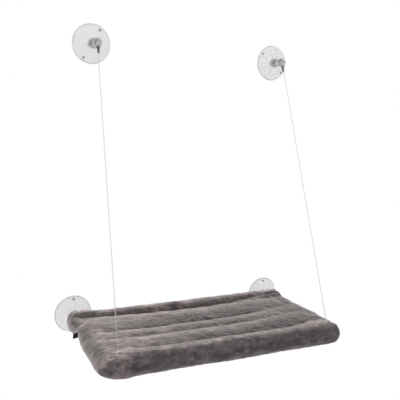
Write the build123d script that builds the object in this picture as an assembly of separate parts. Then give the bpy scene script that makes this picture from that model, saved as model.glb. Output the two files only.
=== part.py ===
from build123d import *
import math
import os

os.makedirs("parts", exist_ok=True)

# Window mounted cat perch, in millimetres. The glass is the plane y = 0 with the room at -Y,
# +Z is up, and the origin lies on the glass midway between the two lower suction cups.

# Layout on the glass
upper_cup_height = 600.0
upper_cup_spacing = 467.0

# Suction cup, all depths measured out of the glass
cup_diameter = 85.0
cup_lip_thickness = 1.4
seal_width = 6.5
vacuum_depth = 2.2
ceiling_share = 0.5
boss_diameter = 22.0
boss_depth = 15.0
shoulder_diameter = 27.0
shoulder_depth = 9.5
# the hollow curve from the lip to the shoulder, as shares of the way inwards and of the rise
sweep_shares = ((0.35, 0.20), (0.70, 0.57))
nub_diameter = 5.5
nub_depth = 4.6
nub_foot = 1.8
nub_circle_diameter = 70.0
upper_left_nub_angle = 110.0
upper_right_nub_angle = 36.0
lower_nub_angle = 90.0

# Screw fasteners on the cups
stud_diameter = 6.0
stud_head_diameter = 15.0
stud_head_thickness = 2.0
stud_head_depth = 6.0
washer_diameter = 22.0
washer_thickness = 1.6
nut_across_flats = 10.0
nut_thickness = 5.0
thread_clearance = 0.05
back_nut_depth = 35.2
loop_washer_diameter = 20.0
loop_washer_thickness = 1.8
loop_room = 3.2
thumb_nut_diameter = 10.0
thumb_nut_length = 10.5
thumb_nut_dome = 1.8
thumb_nut_end_clearance = 0.3
upper_stud_reach = 53.5
lower_stud_reach = 38.0
flute_diameter = 1.2
flute_count = 10

# Cables
cable_diameter = 2.0
cable_loop_radius = 6.5
cable_loop_neck = 11.0
cable_loop_shoulder = 2.0
cable_neck_bend = 6.0
cable_shoulder_bend = 7.0
cable_crown_bend = 6.3
cable_tail = 1.5
strand_gap = 0.2
loop_hang_clearance = 0.15
crimp_start = 12.6
crimp_length = 8.0
crimp_wall = 0.9
crimp_clearance = 0.05
anchor_end_distance = 15.0
cable_hole_clearance = 0.4
stop_diameter = 6.0
stop_length = 9.0
stop_lead = 0.4
stop_bore_clearance = 0.3
grommet_flange_diameter = 8.0
grommet_flange_thickness = 1.0
grommet_barrel_diameter = 4.6

# Padded platform
shelf_length = 550.0
shelf_depth = 280.0
shelf_thickness = 46.0
window_gap = 25.0
rail_rise = 15.0
corner_radius = 28.0
# a power of two would make the turned ends quarter circles, and more fills the corners out
corner_power = 3.0
cover_thickness = 2.5
soft_clearance = 0.3

# Mat between the rails: each rail's inner face and foot lie at a distance from its own edge of the
# shelf, crests and seams at shares of the way from foot to foot, and each sag is a depth below the
# rails' top at mid length
rear_face_distance = 31.4
rear_foot_distance = 36.0
front_face_distance = 43.4
front_foot_distance = 57.0
channel_one_crest_share = 0.18
seam_one_share = 0.416
channel_two_crest_share = 0.53
seam_two_share = 0.663
channel_three_crest_share = 0.785
rear_face_sag = 5.5
rear_foot_sag = 14.5
channel_one_sag = 9.0
seam_one_sag = 14.5
channel_two_sag = 10.0
seam_two_sag = 14.5
channel_three_sag = 10.5
front_foot_sag = 17.0
front_face_sag = 7.5
crown_height = 0.8
# places of the outlines along half the length, and how much of the sag each one has
station_shares = (0.0, 0.45, 0.62, 0.79)
sag_shares = (1.0, 0.98, 0.62, 0.12)
end_turn_shares = (1.0, 0.50, 0.18, 0.03)

# Frame
tube_diameter = 12.0
tube_wall = 1.2
tube_setback = 25.0
tube_end_gap = 11.0
tee_end_distance = 36.0
side_tube_inset = 9.0
tee_wall = 2.3
tee_sleeve_length = 26.0
tee_branch_length = 25.0
tee_collar_width = 4.0
tee_collar_rise = 0.8
tee_clearance = 0.05
cap_flange_rise = 0.8
cap_flange_thickness = 1.6
cap_plug_length = 8.0
cap_clearance = 0.05
screw_diameter = 3.0
screw_length = 6.5
screw_head_diameter = 6.0
screw_head_thickness = 1.8
screw_clearance = 0.15
branch_screw_distance = 16.0

# Hinge eyes on the lower cups
eye_end_distance = 7.0
eye_width = 12.0
eye_wall = 2.9
eye_barrel_diameter = 10.0
eye_barrel_depth = 25.5
eye_bore_clearance = 0.05
eye_socket_depth = 13.5
tilt_range = 60.0
notch_side_clearance = 1.2
notch_round_clearance = 0.8

# Underside and its zip
panel_margin = 6.0
panel_thickness = 1.5
zip_end_gap = 11.0
zip_setback = 65.0
zip_tape_width = 22.0
zip_coil_width = 5.0
zip_coil_height = 1.8
slider_length = 12.0
slider_width = 9.0
slider_height = 3.8
slider_clearance = 0.3
slider_end_gap = 9.0
lug_length = 3.6
lug_width = 4.0
lug_height = 4.4
lug_pin_drop = 2.6
pin_diameter = 1.6
pin_clearance = 0.05
pull_arm_thickness = 1.0
pull_arm_width = 2.6
pull_fork_length = 5.0
pull_length = 22.0
pull_width = 6.6
pull_thickness = 1.4

# Blank label in the left seam
tag_length = 13.0
tag_width = 12.0
tag_thickness = 1.6
tag_cloth = 0.5
tag_setback = 85.0
tag_drop = 9.0

overrun = 2.0

# Places worked out from the sizes above
cup_radius = cup_diameter / 2
boss_radius = boss_diameter / 2
stud_radius = stud_diameter / 2
cable_radius = cable_diameter / 2
tube_radius = tube_diameter / 2
bore_radius = tube_radius - tube_wall
tee_radius = tube_radius + tee_wall
eye_radius = tube_radius + eye_wall
half_length = shelf_length / 2
rear_edge = -window_gap
front_edge = -window_gap - shelf_depth
top_level = rail_rise
bottom_level = rail_rise - shelf_thickness
rear_tube_y = rear_edge - tube_setback
front_tube_y = front_edge + tube_setback
washer_depth = boss_depth + washer_thickness
loop_washer_depth = back_nut_depth + nut_thickness
loop_face_depth = loop_washer_depth + loop_washer_thickness
thumb_nut_depth = loop_face_depth + loop_room
long_tube_length = shelf_length - 2 * tube_end_gap
upper_x = upper_cup_spacing / 2
lower_x = long_tube_length / 2 - eye_end_distance
side_x = long_tube_length / 2 - tee_end_distance
anchor_x = long_tube_length / 2 - anchor_end_distance

sides = {"left": -1, "right": 1}


def keep(shape, node):
    export_step(shape, f"parts/{node}.step")


def joined(shapes):
    whole = shapes[0]
    for shape in shapes[1:]:
        whole += shape
    return whole


def round_bar(radius, start, end):
    # solid cylinder between two points
    line = Vector(*end) - Vector(*start)
    plane = Plane(origin=start, z_dir=line)
    return extrude(plane * Circle(radius), amount=line.length)


def turned(outline, x, z):
    # outline of (radius, depth) points turned about the stud's line at x, z
    face = make_face(Polyline(*[(radius, -depth) for radius, depth in outline], close=True))
    return Pos(x, 0, z) * revolve(face, Axis.Y)


def ring(outer, inner, near, far, x, z):
    return turned([(inner, near), (outer, near), (outer, far), (inner, far)], x, z)


def hex_nut(near, x, z):
    section = RegularPolygon(nut_across_flats / 2, 6, major_radius=False)
    section -= Circle(stud_radius + thread_clearance)
    return Pos(x, 0, z) * extrude(Plane.XZ.offset(near) * section, amount=nut_thickness)


def stud_shape(reach, x, z):
    head = stud_head_diameter / 2
    back = stud_head_depth + stud_head_thickness
    tip = stud_radius / 3
    return turned([(0, stud_head_depth), (head, stud_head_depth), (head, back), (stud_radius, back),
                   (stud_radius, reach - tip), (stud_radius - tip, reach), (0, reach)], x, z)


def cup_shape(x, z, nub_angle):
    # soft cup pressed on the glass: sealing ring, shallow vacuum space, hollow sweep up to its boss
    inner = cup_radius - seal_width
    shoulder = shoulder_diameter / 2
    sweep = []
    for inwards, rise in sweep_shares:
        sweep.append((cup_radius + (shoulder - cup_radius) * inwards,
                      cup_lip_thickness + (shoulder_depth - cup_lip_thickness) * rise))
    body = turned([(0, vacuum_depth), (inner * ceiling_share, vacuum_depth), (inner, 0), (cup_radius, 0),
                   (cup_radius, cup_lip_thickness), *sweep, (shoulder, shoulder_depth),
                   (boss_radius, shoulder_depth + shoulder - boss_radius), (boss_radius, boss_depth),
                   (0, boss_depth)], 0, 0)
    head = stud_head_diameter / 2 + thread_clearance
    front = stud_head_depth - thread_clearance
    back = stud_head_depth + stud_head_thickness + thread_clearance
    shank = stud_radius + thread_clearance
    outlet = boss_depth + overrun
    room = [(0, front), (head, front), (head, back), (shank, back), (shank, outlet), (0, outlet)]
    body -= turned(room, 0, 0)
    # two low moulding nubs near the rim, opposite each other
    for turn in (nub_angle, nub_angle + 180):
        nub_x = nub_circle_diameter / 2 * math.cos(math.radians(turn))
        nub_z = nub_circle_diameter / 2 * math.sin(math.radians(turn))
        body += round_bar(nub_diameter / 2, (nub_x, -nub_foot, nub_z), (nub_x, -nub_depth, nub_z))
    return Pos(x, 0, z) * body


# Window side: cups, studs, washers and nuts
nub_angles = {("upper", "left"): upper_left_nub_angle, ("upper", "right"): upper_right_nub_angle,
              ("lower", "left"): lower_nub_angle, ("lower", "right"): lower_nub_angle}
for (level, side), nub_angle in nub_angles.items():
    upper = level == "upper"
    x = sides[side] * (upper_x if upper else lower_x)
    z = upper_cup_height if upper else 0
    name = f"{level}_{side}"
    keep(cup_shape(x, z, nub_angle), f"{name}_cup")
    keep(stud_shape(upper_stud_reach if upper else lower_stud_reach, x, z), f"{name}_stud")
    washer = ring(washer_diameter / 2, stud_radius + thread_clearance, boss_depth, washer_depth, x, z)
    keep(washer, f"{name}_washer")
    keep(hex_nut(washer_depth, x, z), f"{name}_lock_nut")


def thumb_nut(x, z):
    # knurled cap nut: a blind thread, a domed end and flutes for the fingers
    radius = thumb_nut_diameter / 2
    far = thumb_nut_depth + thumb_nut_length
    bore = stud_radius + thread_clearance
    bottom = upper_stud_reach + thumb_nut_end_clearance
    body = turned([(0, bottom), (bore, bottom), (bore, thumb_nut_depth), (radius, thumb_nut_depth),
                   (radius, far - thumb_nut_dome), (radius - thumb_nut_dome, far), (0, far)], 0, 0)
    for index in range(flute_count):
        turn = 2 * math.pi * index / flute_count
        flute_x = (radius + flute_diameter / 4) * math.cos(turn)
        flute_z = (radius + flute_diameter / 4) * math.sin(turn)
        body -= round_bar(flute_diameter / 2, (flute_x, -thumb_nut_depth - flute_diameter, flute_z),
                          (flute_x, -far - overrun, flute_z))
    return Pos(x, 0, z) * body


for side, sign in sides.items():
    x = sign * upper_x
    keep(hex_nut(back_nut_depth, x, upper_cup_height), f"upper_{side}_back_nut")
    keep(ring(loop_washer_diameter / 2, stud_radius + thread_clearance, loop_washer_depth, loop_face_depth,
              x, upper_cup_height), f"upper_{side}_loop_washer")
    keep(thumb_nut(x, upper_cup_height), f"upper_{side}_thumb_nut")


# Cables. Each loop hangs on its stud and leans in line with the taut run down to the front tube.
loop_y = -(loop_face_depth + loop_room + cable_radius / 2)
lean = math.atan2(loop_y - front_tube_y, upper_cup_height)
loop_drop = cable_loop_radius * math.cos(lean) - cable_radius - stud_radius - loop_hang_clearance
loop_z = upper_cup_height - loop_drop
strand_offset = cable_radius + strand_gap / 2


def cable_plane(sign):
    # the cable's own plane: origin at the loop's centre, local +X across, local -Y down the cable
    start = Vector(sign * upper_x, loop_y, loop_z)
    end = Vector(sign * anchor_x, front_tube_y, 0)
    down = (end - start).normalized()
    across = Vector(sign, 0, 0)
    across = (across - down * across.dot(down)).normalized()
    return Plane(origin=start, x_dir=across, z_dir=across.cross(down * -1)), (end - start).length


def cable_route(anchor_length):
    neck = (strand_offset, -cable_loop_neck)
    shoulder = (cable_loop_radius, -cable_loop_shoulder)
    tail = crimp_start + crimp_length + cable_tail
    end = anchor_length + tube_radius + stop_lead + stop_length / 2
    return [(-strand_offset, -tail), (-neck[0], neck[1]), (-shoulder[0], shoulder[1]),
            (-cable_loop_radius, cable_loop_radius), (cable_loop_radius, cable_loop_radius),
            shoulder, neck, (strand_offset, -end)]


half_bends = [cable_neck_bend, cable_shoulder_bend, cable_crown_bend]
route_bends = half_bends + half_bends[::-1]
cable_lines = {}
grommet_seats = {}
for side, sign in sides.items():
    plane, anchor_length = cable_plane(sign)
    route = FilletPolyline(*cable_route(anchor_length), radius=route_bends)
    path = plane * route
    start_plane = Plane(origin=path @ 0, z_dir=path % 0)
    cable = sweep(start_plane * Circle(cable_radius), path=path)
    share_of_volume = cable.volume / (math.pi * cable_radius ** 2 * path.length)
    print(f"{side} cable: length {path.length:.1f}, bends {route_bends}, volume share {share_of_volume:.4f}")
    keep(cable, f"{side}_cable")

    # points on the straight run, as distances down from the loop's centre
    def on_run(distance):
        return plane.from_local_coords(Vector(strand_offset, -distance, 0))

    cable_lines[side] = (on_run(cable_loop_neck + cable_loop_radius), on_run(anchor_length + shelf_thickness),
                         on_run(anchor_length))

    # crimp sleeve squeezed over both strands
    crimp_plane = Plane(origin=plane.from_local_coords(Vector(0, -crimp_start, 0)), x_dir=plane.x_dir,
                        z_dir=plane.y_dir * -1)
    hole_width = 2 * (strand_offset + cable_radius + crimp_clearance)
    hole_height = 2 * (cable_radius + crimp_clearance)
    sleeve = extrude(crimp_plane * SlotOverall(hole_width + 2 * crimp_wall, hole_height + 2 * crimp_wall),
                     amount=crimp_length)
    sleeve -= extrude(crimp_plane.offset(-overrun) * SlotOverall(hole_width, hole_height),
                      amount=crimp_length + 2 * overrun)
    keep(sleeve, f"{side}_cable_crimp")

    # stop crimped on the lower end, under the front tube
    stop_start = on_run(anchor_length + tube_radius + stop_lead)
    stop_end = on_run(anchor_length + tube_radius + stop_lead + stop_length)
    cable_end = on_run(anchor_length + tube_radius + stop_lead + stop_length / 2 + stop_bore_clearance)
    stop = round_bar(stop_diameter / 2, stop_start, stop_end)
    stop -= round_bar(cable_radius + crimp_clearance, on_run(anchor_length), cable_end)
    keep(stop, f"{side}_cable_stop")

    # grommet where the cable enters the cover
    entry = on_run(anchor_length * (1 - top_level / loop_z))
    down = (stop_end - stop_start).normalized()
    barrel_end = entry + down * (cover_thickness + soft_clearance)
    flange = round_bar(grommet_flange_diameter / 2, entry - down * grommet_flange_thickness, entry)
    grommet = flange + round_bar(grommet_barrel_diameter / 2, entry, barrel_end)
    grommet -= round_bar(cable_radius + soft_clearance, entry - down * overrun, barrel_end + down * overrun)
    keep(grommet, f"{side}_grommet")
    grommet_seats[side] = (round_bar(grommet_flange_diameter / 2 + soft_clearance,
                                     entry - down * shelf_thickness / 2, entry + down * soft_clearance)
                           + round_bar(grommet_barrel_diameter / 2 + soft_clearance, entry,
                                       barrel_end + down * soft_clearance))


def cable_hole(side, extra):
    top, low, _ = cable_lines[side]
    return round_bar(cable_radius + extra, top, low)


# Frame: two long tubes joined by two side tubes in four tees
def tube_x(y, start, end, radius):
    return round_bar(radius, (start, y, 0), (end, y, 0))


def screw_shape():
    # pan head screw on the Z axis, driven upwards through a tee into a tube
    seat = -tee_radius - tee_collar_rise
    low = seat - screw_head_thickness
    head = screw_head_diameter / 2
    shank = screw_diameter / 2
    crown = screw_head_thickness / 2
    profile = [(0, low), (head - crown, low), (head, low + crown), (head, seat), (shank, seat),
               (shank, seat + screw_length), (0, seat + screw_length)]
    section = Polyline(*[(radius, 0, level) for radius, level in profile], close=True)
    return revolve(make_face(section), Axis.Z)


def screw_hole(x, y):
    return round_bar(screw_diameter / 2 + screw_clearance, (x, y, -tee_radius - overrun), (x, y, 0))


def tee_shape():
    # moulded tee with its sleeve along X and its branch towards +Y, and a flat pad under each screw's head
    half = tee_sleeve_length / 2
    collar = tee_radius + tee_collar_rise
    bore = tube_radius + tee_clearance
    branch_end = tee_radius + tee_branch_length
    screws = [(0, 0), (0, branch_screw_distance)]
    body = joined([tube_x(0, -half, half, tee_radius), round_bar(tee_radius, (0, 0, 0), (0, branch_end, 0)),
                   tube_x(0, -half, -half + tee_collar_width, collar),
                   tube_x(0, half - tee_collar_width, half, collar),
                   round_bar(collar, (0, branch_end - tee_collar_width, 0), (0, branch_end, 0))])
    for x, y in screws:
        body += round_bar(screw_head_diameter / 2 + tee_collar_rise, (x, y, -collar), (x, y, -bore))
    body -= tube_x(0, -half - overrun, half + overrun, bore)
    body -= round_bar(bore, (0, side_tube_inset - tee_clearance, 0), (0, branch_end + overrun, 0))
    for x, y in screws:
        body -= screw_hole(x, y)
    return body


tee = tee_shape()
screw_places = []
for end_name, y, inward in (("rear", rear_tube_y, -1), ("front", front_tube_y, 1)):
    for side, sign in sides.items():
        half_turn = 180 if inward < 0 else 0
        keep(Pos(sign * side_x, y, 0) * Rot(0, 0, half_turn) * tee, f"{end_name}_{side}_tee")
        screw_places += [(sign * side_x, y), (sign * side_x, y + inward * branch_screw_distance)]
screw = screw_shape()
keep(Compound([Pos(x, y, 0) * screw for x, y in screw_places]), "frame_screws")

for end_name, y in (("rear", rear_tube_y), ("front", front_tube_y)):
    half = long_tube_length / 2
    tube = tube_x(y, -half, half, tube_radius) - tube_x(y, -half - overrun, half + overrun, bore_radius)
    for place in screw_places:
        if place[1] == y:
            tube -= screw_hole(*place)
    if end_name == "front":
        for side in sides:
            tube -= cable_hole(side, cable_hole_clearance)
    keep(tube, f"{end_name}_tube")

for side, sign in sides.items():
    x = sign * side_x
    near = rear_tube_y - side_tube_inset
    far = front_tube_y + side_tube_inset
    tube = round_bar(tube_radius, (x, near, 0), (x, far, 0))
    tube -= round_bar(bore_radius, (x, near + overrun, 0), (x, far - overrun, 0))
    for place in screw_places:
        if place[0] == x:
            tube -= screw_hole(*place)
    keep(tube, f"{side}_side_tube")


def tube_cap(sign, y):
    end = sign * long_tube_length / 2
    flange = tube_x(y, end, end + sign * cap_flange_thickness, tube_radius + cap_flange_rise)
    plug = tube_x(y, end - sign * cap_plug_length, end, bore_radius - cap_clearance)
    return flange + plug


caps = [tube_cap(sign, y) for sign in sides.values() for y in (rear_tube_y, front_tube_y)]
keep(Compound(caps), "tube_caps")


# Hinge eyes screwed on the lower studs, round the rear tube's ends
def eye_shape(x):
    body = tube_x(rear_tube_y, x - eye_width / 2, x + eye_width / 2, eye_radius)
    body += round_bar(eye_barrel_diameter / 2, (x, rear_tube_y, 0), (x, -eye_barrel_depth, 0))
    body -= tube_x(rear_tube_y, x - eye_width, x + eye_width, tube_radius + eye_bore_clearance)
    body -= round_bar(stud_radius + thread_clearance, (x, -eye_barrel_depth + overrun, 0),
                      (x, -eye_barrel_depth - eye_socket_depth, 0))
    return body


for side, sign in sides.items():
    keep(eye_shape(sign * lower_x), f"lower_{side}_eye")


def eye_room(x):
    # space for an eye: a groove all round it, and a notch that its barrel sweeps as the shelf tilts
    width = eye_width + 2 * notch_side_clearance
    groove = tube_x(rear_tube_y, x - width / 2, x + width / 2, eye_radius + notch_round_clearance)
    wedge = Cylinder(shelf_thickness, width, arc_size=tilt_range,
                     align=(Align.NONE, Align.NONE, Align.CENTER))
    # the cylinder's zero angle points down after the turn about Y, so a quarter turn takes it to +Y
    notch = Pos(x, rear_tube_y, 0) * Rot(90, 0, 0) * Rot(0, 90, 0) * wedge
    for angle in (0, math.radians(tilt_range)):
        tip = (x, rear_tube_y + shelf_thickness * math.cos(angle), shelf_thickness * math.sin(angle))
        notch += round_bar(eye_barrel_diameter / 2 + notch_round_clearance, (x, rear_tube_y, 0), tip)
    return groove, notch


# Padded cover: outlines across the shelf, lofted along its length
def end_inset(distance, radius):
    # how far a full, squared-off corner draws in at a distance from the end
    if distance >= radius:
        return 0
    return radius - (radius ** corner_power - (radius - distance) ** corner_power) ** (1 / corner_power)


def outline(x, distance, sag_share, inset):
    # closed outline at x: half round edges, two padded rails and the channelled mat between them
    round_size = shelf_thickness / 2 - inset
    corner = corner_radius - inset
    lift = end_inset(distance, round_size)
    draw = end_inset(distance, corner)
    rear = rear_edge - inset - draw
    front = front_edge + inset + draw
    top = top_level - inset - lift
    low = bottom_level + inset + lift
    middle = (top + low) / 2
    radius = (top - low) / 2
    slant = radius * math.sqrt(0.5)
    span = rear - front - 2 * radius
    whole_span = shelf_depth - shelf_thickness

    def place(across, sag, crown):
        along = (across - shelf_thickness / 2) / whole_span
        return (x, rear - radius - along * span, top - sag * sag_share + crown)

    def between(share):
        return rear_foot_distance + share * (shelf_depth - rear_foot_distance - front_foot_distance)

    rear_top = (x, rear - radius, top)
    front_top = (x, front + radius, top)
    rear_low = (x, rear - radius, low)
    front_low = (x, front + radius, low)
    rear_foot = place(rear_foot_distance, rear_foot_sag, 0)
    seam_one = place(between(seam_one_share), seam_one_sag, 0)
    seam_two = place(between(seam_two_share), seam_two_sag, 0)
    front_foot = place(shelf_depth - front_foot_distance, front_foot_sag, 0)
    rear_face = place(rear_face_distance, rear_face_sag, crown_height)
    crest_one = place(between(channel_one_crest_share), channel_one_sag, crown_height)
    crest_two = place(between(channel_two_crest_share), channel_two_sag, crown_height)
    crest_three = place(between(channel_three_crest_share), channel_three_sag, crown_height)
    front_face = place(shelf_depth - front_face_distance, front_face_sag, crown_height)
    edges = [
        ThreePointArc((x, rear, middle), (x, rear - radius + slant, middle + slant), rear_top),
        ThreePointArc(rear_top, rear_face, rear_foot),
        ThreePointArc(rear_foot, crest_one, seam_one),
        ThreePointArc(seam_one, crest_two, seam_two),
        ThreePointArc(seam_two, crest_three, front_foot),
        ThreePointArc(front_foot, front_face, front_top),
        ThreePointArc(front_top, (x, front + radius - slant, middle + slant), (x, front, middle)),
        ThreePointArc((x, front, middle), (x, front + radius - slant, middle - slant), front_low),
        Line(front_low, rear_low),
        ThreePointArc(rear_low, (x, rear - radius + slant, middle - slant), (x, rear, middle)),
    ]
    return Wire([edge.edge() for edge in edges])


def padded_form(inset):
    # stations from the left end to the right: turned ends, then the sagging middle
    half = half_length - inset
    turn = corner_radius - inset
    tip = end_turn_shares[-1]
    stations = [(half - turn * (share - tip), turn * share, 0) for share in reversed(end_turn_shares)]
    places = list(zip(station_shares, sag_shares))
    stations += [(half * share, half, sag) for share, sag in reversed(places)]
    mirrored = [(-x, distance, sag) for x, distance, sag in stations]
    wires = [outline(*station, inset) for station in mirrored + stations[-2::-1]]
    return Solid.make_loft(wires, ruled=True)


outer_form = padded_form(0)
inner_form = padded_form(cover_thickness)
pad_form = padded_form(cover_thickness + soft_clearance)
rooms = {side: eye_room(sign * lower_x) for side, sign in sides.items()}
panel_x = half_length - shelf_thickness / 2 - panel_margin
panel_rear = rear_edge - shelf_thickness / 2 - panel_margin
panel_front = front_edge + shelf_thickness / 2 + panel_margin


def flat_block(x_from, x_to, y_from, y_to, z_from, z_to):
    corner = (min(x_from, x_to), min(y_from, y_to), min(z_from, z_to))
    size = (abs(x_to - x_from), abs(y_to - y_from), abs(z_to - z_from))
    return Pos(*corner) * Box(*size, align=(Align.MIN, Align.MIN, Align.MIN))


cover = outer_form - inner_form
cover -= flat_block(-panel_x, panel_x, panel_rear, panel_front, bottom_level - overrun,
                    bottom_level + cover_thickness + soft_clearance)
for side in sides:
    groove, notch = rooms[side]
    cover -= notch
    cover -= grommet_seats[side]
keep(cover, "plush_cover")

# Padding inside: a roll round each long tube and the quilted mat between them
rear_split = rear_edge - rear_foot_distance
front_split = front_edge + front_foot_distance
level_band = (bottom_level - overrun, top_level + overrun)
bands = {"rear_roll": (rear_edge + overrun, rear_split + soft_clearance / 2),
         "mat_pad": (rear_split - soft_clearance / 2, front_split + soft_clearance / 2),
         "front_roll": (front_split - soft_clearance / 2, front_edge - overrun)}
frame_room = []
reach = long_tube_length / 2 + cap_flange_thickness + soft_clearance
for y in (rear_tube_y, front_tube_y):
    frame_room.append(tube_x(y, -reach, reach, tube_radius + cap_flange_rise + soft_clearance))
fitting_radius = tee_radius + tee_collar_rise + soft_clearance
for sign in sides.values():
    x = sign * side_x
    frame_room.append(round_bar(tube_radius + soft_clearance, (x, rear_tube_y, 0), (x, front_tube_y, 0)))
    for y, inward in ((rear_tube_y, -1), (front_tube_y, 1)):
        half = tee_sleeve_length / 2 + soft_clearance
        frame_room.append(tube_x(y, x - half, x + half, fitting_radius))
        branch_end = y + inward * (tee_radius + tee_branch_length + soft_clearance)
        frame_room.append(round_bar(fitting_radius, (x, y, 0), (x, branch_end, 0)))
head_drop = tee_radius + tee_collar_rise + screw_head_thickness + soft_clearance
for x, y in screw_places:
    room = screw_head_diameter / 2 + tee_collar_rise + soft_clearance
    frame_room.append(round_bar(room, (x, y, -head_drop), (x, y, 0)))
for side in sides:
    top, low, crossing = cable_lines[side]
    frame_room.append(cable_hole(side, cable_hole_clearance))
    frame_room.append(round_bar(stop_diameter / 2 + soft_clearance, crossing, low))
    frame_room.append(grommet_seats[side])
    frame_room += list(rooms[side])
for node, (y_from, y_to) in bands.items():
    pad = pad_form & flat_block(-half_length, half_length, y_from, y_to, *level_band)
    for room in frame_room:
        pad -= room
    keep(pad, node)

# Underside cloth with its zip
panel = flat_block(-panel_x + soft_clearance, panel_x - soft_clearance, panel_rear - soft_clearance,
                   panel_front + soft_clearance, bottom_level, bottom_level + panel_thickness)
zip_y = rear_edge - zip_setback
zip_half = panel_x - zip_end_gap
panel -= flat_block(-zip_half, zip_half, zip_y - zip_tape_width / 2, zip_y + zip_tape_width / 2,
                    bottom_level - overrun, bottom_level + overrun)
keep(panel, "underside_panel")

tape_half = zip_half - soft_clearance
tape_width = zip_tape_width - 2 * soft_clearance
tape = flat_block(-tape_half, tape_half, zip_y - tape_width / 2, zip_y + tape_width / 2, bottom_level,
                  bottom_level + panel_thickness)
tape += flat_block(-tape_half, tape_half, zip_y - zip_coil_width / 2, zip_y + zip_coil_width / 2,
                   bottom_level - zip_coil_height, bottom_level)
keep(tape, "zip_tape")

slider_x = zip_half - slider_end_gap - slider_length / 2
slider_top = bottom_level - slider_clearance
slider_low = slider_top - slider_height
lug_low = slider_low - lug_height
pin_z = slider_low - lug_pin_drop
slider = flat_block(slider_x - slider_length / 2, slider_x + slider_length / 2, zip_y - slider_width / 2,
                    zip_y + slider_width / 2, slider_low, slider_top)
slider = chamfer(slider.edges().filter_by(Axis.Z), slider_width / 6)
coil_room = zip_coil_width / 2 + slider_clearance
slider -= flat_block(slider_x - slider_length, slider_x + slider_length, zip_y - coil_room, zip_y + coil_room,
                     bottom_level - zip_coil_height - slider_clearance, bottom_level)
lug = flat_block(slider_x - lug_length / 2, slider_x + lug_length / 2, zip_y - lug_width / 2,
                 zip_y + lug_width / 2, lug_low, slider_low)
lug = fillet(lug.edges().filter_by(Axis.Y).sort_by(Axis.Z)[:2], lug_length / 3)
slider = slider + lug - round_bar(pin_diameter / 2 + pin_clearance, (slider_x, zip_y - lug_width, pin_z),
                                  (slider_x, zip_y + lug_width, pin_z))
keep(slider, "zip_slider")

# pull: a fork with its pin through the lug, and a plate that hangs down
arm_inner = lug_width / 2 + slider_clearance
arm_outer = arm_inner + pull_arm_thickness
pull_parts = [round_bar(pin_diameter / 2, (slider_x, zip_y - arm_outer, pin_z),
                        (slider_x, zip_y + arm_outer, pin_z))]
for sign in (-1, 1):
    near = zip_y + sign * arm_inner
    far = zip_y + sign * arm_outer
    pull_parts.append(round_bar(pull_arm_width / 2, (slider_x, near, pin_z), (slider_x, far, pin_z)))
    pull_parts.append(flat_block(slider_x - pull_arm_width / 2, slider_x + pull_arm_width / 2, near, far,
                                 pin_z - pull_fork_length, pin_z))
plate = flat_block(slider_x - pull_thickness / 2, slider_x + pull_thickness / 2, zip_y - pull_width / 2,
                   zip_y + pull_width / 2, pin_z - pull_length, pin_z - lug_height)
plate = fillet(plate.edges().filter_by(Axis.X).sort_by(Axis.Z)[:2], pull_width / 3)
pull_parts.append(plate)
keep(joined(pull_parts), "zip_pull")

# Blank folded label sewn in the left seam
tag_y = rear_edge - tag_setback
tag_root = -half_length - soft_clearance
tag_fold = tag_thickness / 2
tag_flat = tag_length - tag_fold
tag_gap = tag_thickness - 2 * tag_cloth
tag_section = Pos(-tag_flat / 2, 0) * Rectangle(tag_flat, tag_thickness)
tag_section += Pos(-tag_flat, 0) * Circle(tag_fold)
tag_section -= Pos(-tag_flat / 2, 0) * Rectangle(tag_flat, tag_gap)
tag_plane = Plane(origin=(tag_root, tag_y, -tag_drop), x_dir=(1, 0, 0), z_dir=(0, -1, 0))
keep(extrude(tag_plane * tag_section, amount=tag_width / 2, both=True), "side_tag")
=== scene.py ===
import math
import bmesh
import bpy
import numpy as np
from mathutils import Matrix, Vector


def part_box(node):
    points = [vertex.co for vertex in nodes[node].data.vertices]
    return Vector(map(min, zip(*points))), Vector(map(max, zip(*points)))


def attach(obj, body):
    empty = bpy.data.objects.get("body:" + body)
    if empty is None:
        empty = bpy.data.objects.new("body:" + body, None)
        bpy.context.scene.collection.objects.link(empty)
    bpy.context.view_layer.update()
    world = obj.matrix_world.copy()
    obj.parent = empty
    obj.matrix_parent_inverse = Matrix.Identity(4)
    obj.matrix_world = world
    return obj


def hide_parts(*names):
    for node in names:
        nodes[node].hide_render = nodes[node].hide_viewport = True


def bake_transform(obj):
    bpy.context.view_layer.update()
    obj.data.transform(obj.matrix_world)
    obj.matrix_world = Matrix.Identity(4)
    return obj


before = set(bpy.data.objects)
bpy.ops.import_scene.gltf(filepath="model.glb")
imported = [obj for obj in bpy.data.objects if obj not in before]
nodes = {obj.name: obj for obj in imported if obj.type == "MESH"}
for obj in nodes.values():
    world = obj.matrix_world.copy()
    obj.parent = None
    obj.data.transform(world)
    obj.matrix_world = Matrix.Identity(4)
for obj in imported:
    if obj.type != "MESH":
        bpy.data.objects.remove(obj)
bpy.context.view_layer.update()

# Window mounted cat perch: the glass is the plane y = 0, the room lies towards -Y, +Z is up, metres
mm = 0.001
scene = bpy.context.scene
scene.view_settings.view_transform = "Standard"
sides = {"left": -1, "right": 1}


def middleOf(node):
    low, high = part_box(node)
    return (low + high) / 2


def linked(name, data):
    piece = bpy.data.objects.new(name, data)
    scene.collection.objects.link(piece)
    return piece


def setAll(thing, **values):
    for key, value in values.items():
        setattr(thing, key, value)


# Camera at the photograph's viewing angle
cameraSet = {"place": (-0.636, -1.277, 0.473), "yaw": 28.37, "pitch": 8.52, "roll": 3.4,
             "focalPixels": 597.8, "framePixels": 400, "sensor": 36.0, "clip": (0.05, 60)}


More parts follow.
